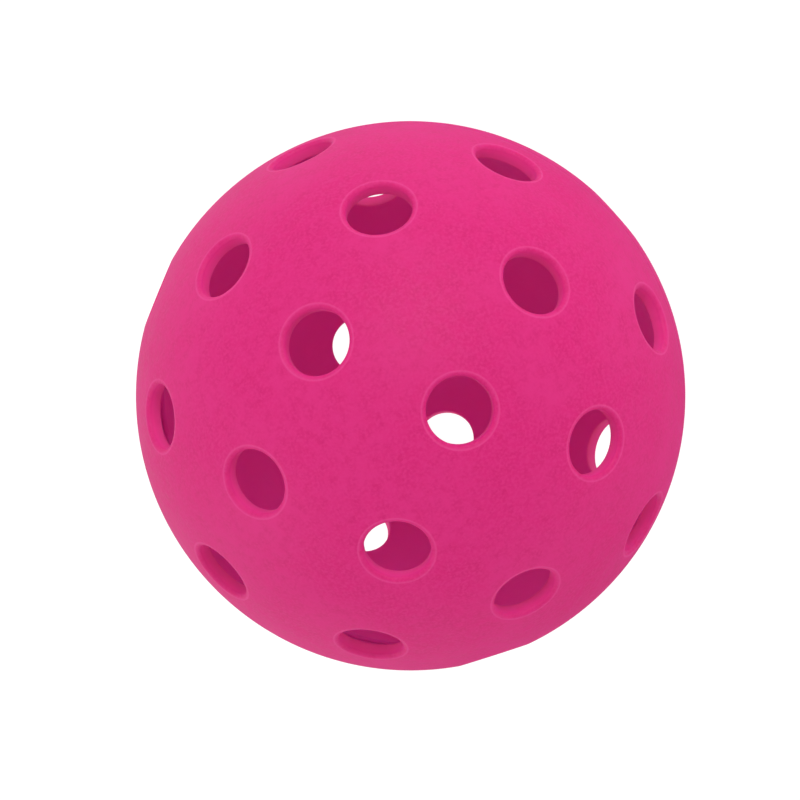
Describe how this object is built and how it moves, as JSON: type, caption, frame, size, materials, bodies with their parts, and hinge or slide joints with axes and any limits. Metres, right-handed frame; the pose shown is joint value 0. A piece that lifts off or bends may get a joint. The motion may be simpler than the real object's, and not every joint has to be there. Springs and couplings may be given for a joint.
{
  "type": "pickleball ball",
  "caption": "Hollow perforated plastic ball with rounded round holes in rings about one axis, made as lap-jointed and welded half shells.",
  "frame": {"origin": "centre of the ball", "axes": "+Z along the common axis of both half shells, square to the weld plane, towards the upper half; +X towards a hole of the upper half's first ring"},
  "size_m": [0.074, 0.074, 0.074],
  "materials": {
    "shell_plastic": "satin",
    "weld_plastic": "satin"
  },
  "bodies": {
    "root": {"upper_half_shell": "shell_plastic", "lower_half_shell": "shell_plastic", "weld_bead": "weld_plastic"}
  },
  "joints": []
}
